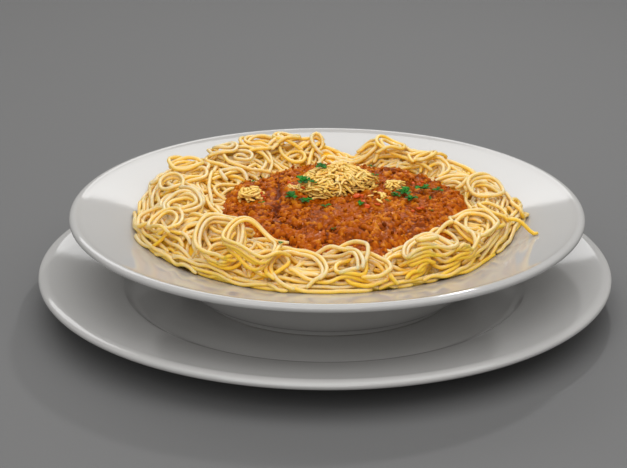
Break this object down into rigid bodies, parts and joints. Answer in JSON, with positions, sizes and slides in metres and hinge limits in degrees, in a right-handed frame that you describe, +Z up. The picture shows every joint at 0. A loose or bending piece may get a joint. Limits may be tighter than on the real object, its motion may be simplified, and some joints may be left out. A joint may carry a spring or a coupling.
{
  "type": "spaghetti bolognese in a pasta dish on a plate",
  "caption": "Nest of spaghetti with meat sauce and grated cheese in a wide-rimmed round pasta dish, standing on a round dinner plate.",
  "frame": {"origin": "middle of the plate's foot ring, on the surface it stands on", "axes": "+Z up, square to that surface; -Y towards the diner, +X to the diner's right"},
  "size_m": [0.3138, 0.3138, 0.0726],
  "materials": {
    "plate_glaze": "glossy white glaze",
    "dish_glaze": "glossy white glaze",
    "cooked_spaghetti": "moist, pale gold, slightly translucent",
    "meat_sauce": "fine minced meat in tomato with an oily shine",
    "grated_cheese": "pale yellow, waxy",
    "parsley": "crinkled chopped leaf"
  },
  "bodies": {
    "root": {"underplate": "plate_glaze", "pasta_dish": "dish_glaze", "spaghetti": "cooked_spaghetti", "bolognese_sauce": "meat_sauce", "grated_cheese_pile": "grated_cheese", "grated_cheese_left": "grated_cheese", "grated_cheese_right": "grated_cheese"}
  },
  "joints": []
}
